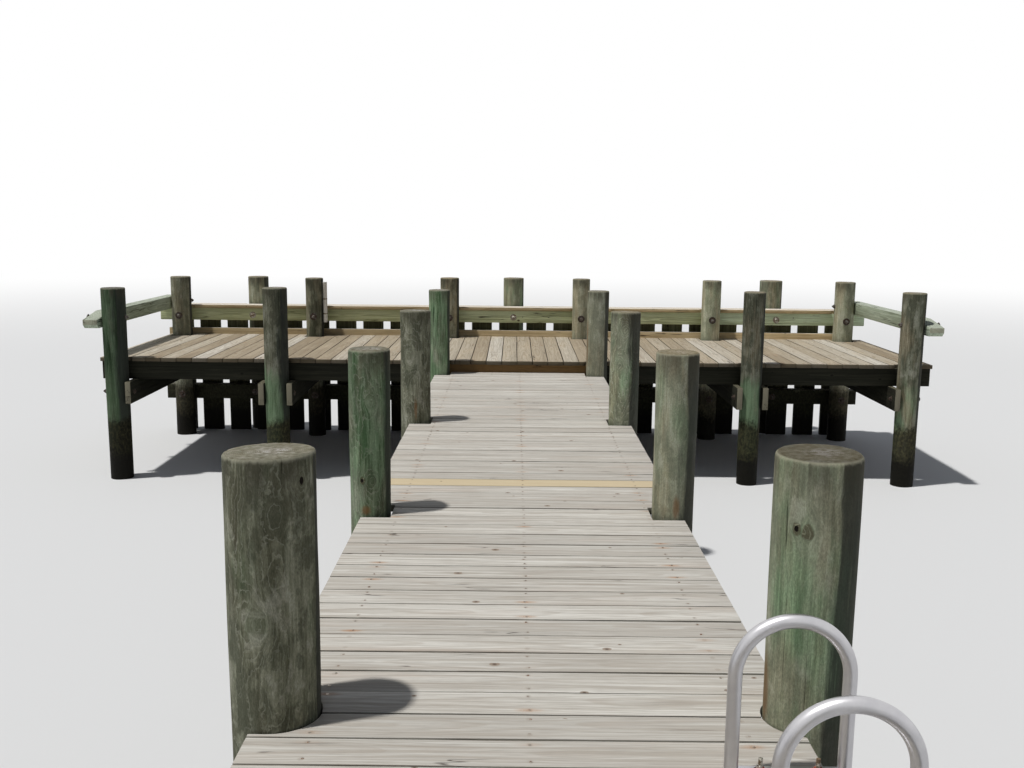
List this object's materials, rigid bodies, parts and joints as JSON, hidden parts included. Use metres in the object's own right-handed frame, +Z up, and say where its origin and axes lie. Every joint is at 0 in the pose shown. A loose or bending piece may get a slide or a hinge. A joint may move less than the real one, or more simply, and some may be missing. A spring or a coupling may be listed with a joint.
{
  "type": "wooden jetty",
  "caption": "Timber jetty: a plank walkway on paired round piles leading to a wider platform with a wave screen, side rails and a bathing ladder.",
  "frame": {"origin": "middle of the jetty's outline, on the water line where the piles are cut", "axes": "+Y out to sea along the walkway, +Z up, +X to the right when looking out to sea"},
  "size_m": [8.164, 13.948, 1.874],
  "materials": {
    "pile_timber": "weathered green-treated round timber",
    "frame_timber": "weathered green-treated sawn timber",
    "walkway_boards": "bleached silver-grey boards",
    "platform_boards": "weathered tan boards",
    "tan_timber": "weathered tan planks",
    "screen_timber": "damp green-treated planks",
    "ladder_alloy": "satin",
    "bolt_steel": "dull galvanised, rust at the edges",
    "white_plastic": "satin, weathered"
  },
  "bodies": {
    "root": {"walkway_piles_1": "pile_timber", "walkway_piles_2": "pile_timber", "walkway_piles_3": "pile_timber", "walkway_piles_4": "pile_timber", "walkway_piles_5": "pile_timber", "front_piles_left": "pile_timber", "front_piles_middle": "pile_timber", "front_piles_right": "pile_timber", "back_piles_left": "pile_timber", "back_piles_middle": "pile_timber", "back_piles_right": "pile_timber", "outer_pile_left": "pile_timber", "outer_pile_middle": "pile_timber", "outer_pile_right": "pile_timber", "walkway_cap_1": "frame_timber", "walkway_cap_2": "frame_timber", "walkway_cap_3": "frame_timber", "walkway_cap_4": "frame_timber", "walkway_cap_5": "frame_timber", "walkway_cap_6": "frame_timber", "walkway_stringers": "frame_timber", "platform_cap_1": "frame_timber", "platform_cap_2": "frame_timber", "platform_cap_3": "frame_timber", "platform_cap_4": "frame_timber", "platform_cap_5": "frame_timber", "platform_cap_6": "frame_timber", "platform_joists": "frame_timber", "front_fascia": "frame_timber", "upper_wale": "frame_timber", "lower_wale": "frame_timber", "side_rail_left": "frame_timber", "side_rail_right": "frame_timber", "walkway_deck_1": "walkway_boards", "walkway_deck_2": "walkway_boards", "walkway_deck_3": "walkway_boards", "walkway_deck_4": "walkway_boards", "walkway_deck_5": "walkway_boards", "platform_deck": "platform_boards", "kick_board": "tan_timber", "cap_board": "tan_timber", "wave_screen": "screen_timber", "ladder_hoops": "ladder_alloy", "ladder_treads": "ladder_alloy", "rod_holder": "white_plastic"}
  },
  "joints": []
}
